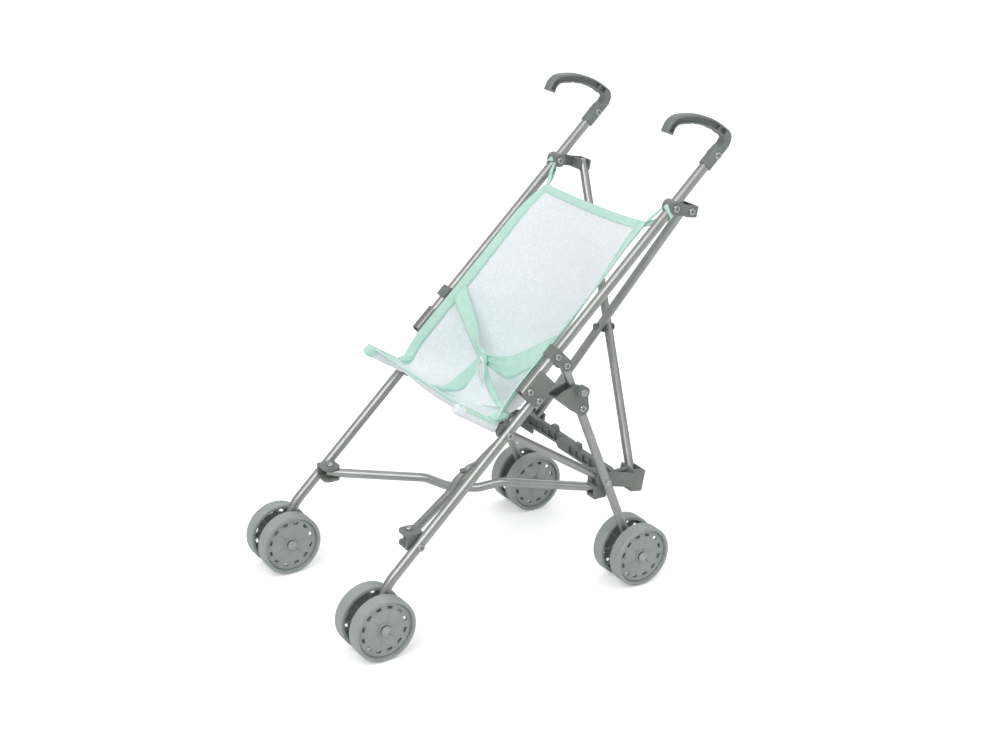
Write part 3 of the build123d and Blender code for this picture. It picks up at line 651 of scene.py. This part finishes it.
def makeGather(name, centre, size, folds, lengthwise):
    # a folded spindle along x, y or z, which lengthwise gives as 0, 1 or 2
    g = gather
    rows = []
    first, second = [k for k in range(3) if k != lengthwise]
    for r in range(g["rows"]):
        t = r / (g["rows"] - 1)
        swell = math.sin(math.pi * (g["swellFrom"] + g["swellBy"] * t)) ** g["swellPower"]
        row = []
        for k in range(g["around"]):
            turn = 2 * math.pi * k / g["around"]
            fold = 1 + g["fold"] * math.cos(folds * turn + g["foldTwist"] * t)
            fold += g["dent"] * math.sin(g["dentTurn"] * t + turn)
            spot = Vector(centre)
            spot[first] += size[first] / 2 * swell * fold * math.cos(turn)
            spot[second] += size[second] / 2 * swell * fold * math.sin(turn)
            spot[lengthwise] += (t - 0.5) * size[lengthwise]
            row.append(spot)
        rows.append(row)
    piece = gridMesh(name, rows, finish["binding"], 0.0, closed=True)
    cleanMesh(piece, fill=True)
    return softPiece(piece)


harnessKnot = makeGather("harnessKnot", waistBand["knot"], gather["knotSize"], gather["knotFolds"], 2)
for sideName, mirror in sides:
    x, y, z = gather["cornerPlace"]
    corner = (mirror * x, y, z)
    bunch = makeGather(sideName + "CornerGather", corner, gather["cornerSize"], gather["cornerFolds"], 1)
    slingTrim.append(bunch)

strapRing = {
    "height": 0.027, "width": 0.011, "wire": 0.0012, "top": (0.0125, -0.0106, 0.2645), "forward": -0.002,
    "around": 40, "wireAround": 10, "merge": 1e-7,
}


def makeRing(s):
    rows = []
    middle = Vector(s["top"]) + Vector((0, s["forward"], -s["height"] / 2))
    wireTurns = [2 * math.pi * k / s["wireAround"] for k in range(s["wireAround"])]
    for r in range(s["around"]):
        turn = 2 * math.pi * r / s["around"]
        reach = Vector((s["width"] / 2 * math.sin(turn), 0, s["height"] / 2 * math.cos(turn)))
        centre = middle + reach
        outward = reach.normalized()
        rows.append([
            centre + (outward * math.cos(w) + Vector((0, 1, 0)) * math.sin(w)) * s["wire"] for w in wireTurns
        ])
    rows.append(rows[0])
    ring = gridMesh("harnessRing", rows, finish["ring_plastic"], 0.0, closed=True)
    cleanMesh(ring, merge=s["merge"], turnOut=False)
    softPiece(ring)
    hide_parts("strap_ring")
    return ring


# the panel hangs from the knot, and its two edges run down to feet on the seat
crotchPanel = {
    "top": (0.007, -0.002, -0.004), "rows": 22, "across": 9, "thickness": 0.0010,
    "rightFoot": (-0.0433, -0.0538, 0.2232), "rightBulge": (0.006, -0.003, -0.013), "rightTape": 0.0200,
    "leftFoot": (0.0430, -0.0020, 0.2145), "leftBulge": (-0.004, 0.0, -0.002), "leftTape": 0.0085,
    "lowBulge": 0.2, "belly": (0, 0.010, -0.010), "bellyWidth": 0.1,
    "tapeThickness": 0.0020, "tapeAcross": 4, "tapeShare": 0.55, "tapeLap": 0.12,
}


def panelEdge(sideName, mirror):
    c = crotchPanel
    foot, bulge = Vector(c[sideName + "Foot"]), Vector(c[sideName + "Bulge"])
    top = Vector(waistBand["knot"]) + Vector((mirror * c["top"][0], *c["top"][1:]))
    middle = foot.lerp(top, 0.5) + bulge
    return smoothPath([foot, foot.lerp(middle, 0.5) + bulge * c["lowBulge"], middle, top], c["rows"])


def makeCrotchPanel(trim):
    c = crotchPanel
    rows = []
    for a, b in zip(panelEdge("right", -1.0), panelEdge("left", 1.0)):
        row = []
        for k in range(c["across"]):
            t = k / (c["across"] - 1)
            belly = Vector(c["belly"]) * math.sin(math.pi * t) * (a - b).length / c["bellyWidth"]
            row.append(a.lerp(b, t) + belly)
        rows.append(row)
    panel = gridMesh("crotchPanel", rows, finish["cloth"], c["thickness"])
    softPiece(panel)
    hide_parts("crotch_strap")
    for name, column, inward, width in (
        ("crotchTapeRight", 0, 1, c["rightTape"]), ("crotchTapeLeft", -1, -2, c["leftTape"]),
    ):
        strip = []
        for row in rows:
            edge = row[column]
            reach = min(width, (row[0] - row[-1]).length * c["tapeShare"])
            span = (row[inward] - edge).normalized() * reach
            steps = c["tapeAcross"] - 1
            strip.append([edge + span * (k / steps - c["tapeLap"]) for k in range(c["tapeAcross"])])
        tape = gridMesh(name, strip, finish["binding"], c["tapeThickness"])
        trim.append(softPiece(tape))


makeCrotchPanel([harnessKnot, makeRing(strapRing)])
print("harness made")

# steel rivet heads over the plates; the rim holds shares of the radius and the height
rivetHead = {
    "radius": 0.0043, "height": 0.0021, "rim": [(1.0, 0.0), (1.0, 0.35), (0.86, 0.78), (0.62, 1.0)],
    "dimple": 0.0018, "dimpleFlare": 1.12, "dimpleDepth": 0.0014,
    "segments": 28, "merge": 2e-5, "point": 1e-5,
}


def lathe(name, profile, place, axis, material):
    axis = axis.normalized()
    side = axis.orthogonal().normalized()
    other = axis.cross(side)
    segments = rivetHead["segments"]
    turns = [2 * math.pi * k / segments for k in range(segments)]
    rows = []
    for radius, height in profile:
        reach = max(radius, rivetHead["point"])
        rows.append([
            place + axis * height + (side * math.cos(t) + other * math.sin(t)) * reach for t in turns
        ])
    piece = gridMesh(name, rows, material, 0.0, closed=True)
    cleanMesh(piece, merge=rivetHead["merge"])
    return piece


def addRivet(name, body, place, axis):
    r = rivetHead
    floor = r["height"] - r["dimpleDepth"]
    profile = [(r["radius"] * wide, r["height"] * high) for wide, high in r["rim"]]
    profile += [(r["dimple"] * r["dimpleFlare"], r["height"]), (r["dimple"], floor), (0.0, floor)]
    rivet = lathe(name, profile, Vector(place), Vector(axis), finish["steel"])
    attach(rivet, body)


# both and outer: station along the handle tube, offset behind it, reach in x from its middle
# topFork and catch: side-view (y, z) and reach; base: (x, y, z) of bolt heads that face up or down
legOffset = frameLine["legOffset"]
rivetPlaces = {
    "both": {
        "linkClampUpper": (0.0475, 0.0, 0.0075), "linkClampLower": (0.0475, legOffset, 0.0075),
        "hingePlateUpper": (0.0, 0.0, 0.0075), "hingePlateLower": (0.0, legOffset, 0.0075),
        "topBracket": (0.251, 0.0, 0.0080), "handleSocket": (0.325, 0.0, 0.0066),
    },
    "outer": {"seatPivot": (-0.0485, legOffset, 0.0055), "baseClamp": (-0.1985, legOffset, 0.0055)},
    "topFork": {"left": (0.18348, 0.43303), "right": (0.19580, 0.43097)}, "topForkReach": 0.0080,
    "catch": [("CatchPivotOuter", (0.051951, 0.230386), 0.0078, 1.0),
              ("CatchPivotInner", (0.051951, 0.230386), 0.0078, -1.0),
              ("CatchKnob", (0.047951, 0.251886), 0.0146, 1.0)],
    "base": [("FrontClampTop", (0.090, -0.14686, 0.1236), 1.0),
             ("FrontClampLow", (0.090, -0.14686, 0.1054), -1.0),
             ("RearClevisLow", (0.090, 0.09714, 0.1054), -1.0)],
}


def sideRivet(name, body, mirror, spot, reach, sign=1.0):
    place = (mirror * (frameLine["tubeX"] + sign * reach), *spot)
    addRivet(name + "Rivet", body, place, (mirror * sign, 0, 0))


for sideName, mirror in sides:
    body = sideName + "_side"
    for rivetName, (station, behind, reach) in rivetPlaces["both"].items():
        for where, sign in (("Outer", 1.0), ("Inner", -1.0)):
            sideRivet(sideName + rivetName + where, body, mirror, alongTube(station, behind), reach, sign)
    for rivetName, (station, behind, reach) in rivetPlaces["outer"].items():
        sideRivet(sideName + rivetName, body, mirror, alongTube(station, behind), reach)
    forkSpot = rivetPlaces["topFork"][sideName]
    sideRivet(sideName + "TopFork", body, mirror, forkSpot, rivetPlaces["topForkReach"])
    for rivetName, spot, reach, sign in rivetPlaces["catch"]:
        sideRivet(sideName + rivetName, sideName + "_catch", mirror, spot, reach, sign)
    for rivetName, (x, y, z), sign in rivetPlaces["base"]:
        addRivet(sideName + rivetName + "Bolt", body, (mirror * x, y, z), (0, 0, sign))
print("rivets made")

# moulded ribs, a bead and a hub collar on each wheel's face, and a bright cap on each axle end
# ribs: radius, half width and height at both ends; bead and collar: inner and outer radius, rise
wheelTrim = {
    "face": 0.0040, "hubFace": 0.0050, "seat": 0.0002, "segments": 72,
    "ribs": 6, "ribShift": 0.25, "ribEnds": [(0.0076, 0.0011, 0.0011), (0.0212, 0.0006, 0.0003)],
    "bead": (0.0290, 0.0312, 0.0010), "collar": (0.0058, 0.0078, 0.0006), "shoulder": (0.2, 0.75),
    "cap": [(0.0037, 0.0), (0.0036, 0.0002), (0.0030, 0.00045), (0.0016, 0.0006), (0.0, 0.00062)],
}


def addWheelRibs(name, wheel, centre, outward):
    w = wheelTrim
    verts, faces = [], []

    def addVert(radius, turn, across, height):
        y = radius * math.cos(turn) - across * math.sin(turn)
        z = radius * math.sin(turn) + across * math.cos(turn)
        verts.append(centre + Vector((outward * height, y, z)))
        return len(verts) - 1

    foot = w["face"] - w["seat"]
    for rib in range(w["ribs"]):
        turn = 2 * math.pi * (rib + w["ribShift"]) / w["ribs"]
        ends = []
        for radius, half, height in w["ribEnds"]:
            section = [(-half, foot), (0.0, w["face"] + height), (half, foot)]
            ends.append([addVert(radius, turn, across, lift) for across, lift in section])
        a, b = ends
        for k in range(len(a)):
            n = (k + 1) % len(a)
            faces.append((a[k], a[n], b[n], b[k]))
        faces += [tuple(reversed(a)), tuple(b)]
    inset, lower = w["shoulder"]
    for (low, high, rise), base in ((w["bead"], w["face"]), (w["collar"], w["hubFace"])):
        profile = [(0.0, -w["seat"]), (inset, rise * lower), (0.5, rise), (1 - inset, rise * lower),
                   (1.0, -w["seat"])]
        wide = high - low
        rings = []
        for s in range(w["segments"]):
            turn = 2 * math.pi * s / w["segments"]
            rings.append([addVert(low + wide * share, turn, 0.0, base + lift) for share, lift in profile])
        for s, ring in enumerate(rings):
            after = rings[(s + 1) % len(rings)]
            for k in range(len(profile)):
                n = (k + 1) % len(profile)
                faces.append((ring[k], ring[n], after[n], after[k]))
    ribs = addPiece(name + "Ribs", verts, faces, finish["wheel_plastic"], smooth=False)
    cleanMesh(ribs)
    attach(ribs, wheel)


def addAxleCap(name, words, centre, outward):
    axleLow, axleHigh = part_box("_".join(words[:2]) + "_axle")
    end = Vector((axleHigh[0] if outward > 0 else axleLow[0], centre.y, centre.z))
    cap = lathe(name + "Cap", wheelTrim["cap"], end, Vector((outward, 0, 0)), finish["steel"])
    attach(cap, words[0] + "_side")


for joint in frame["record"]["behaviour"]["joints"]:
    if joint["name"].endswith("_spin"):
        wheel = joint["child"]
        words = wheel.split("_")
        wheelName = words[0] + "".join(word.title() for word in words[1:])
        centre = Vector(joint["pos_m"])
        outward = math.copysign(1.0, centre.x) * (1 if "outer" in words else -1)
        addWheelRibs(wheelName, wheel, centre, outward)
        addAxleCap(wheelName, words, centre, outward)
print("wheel faces trimmed")

low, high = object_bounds()
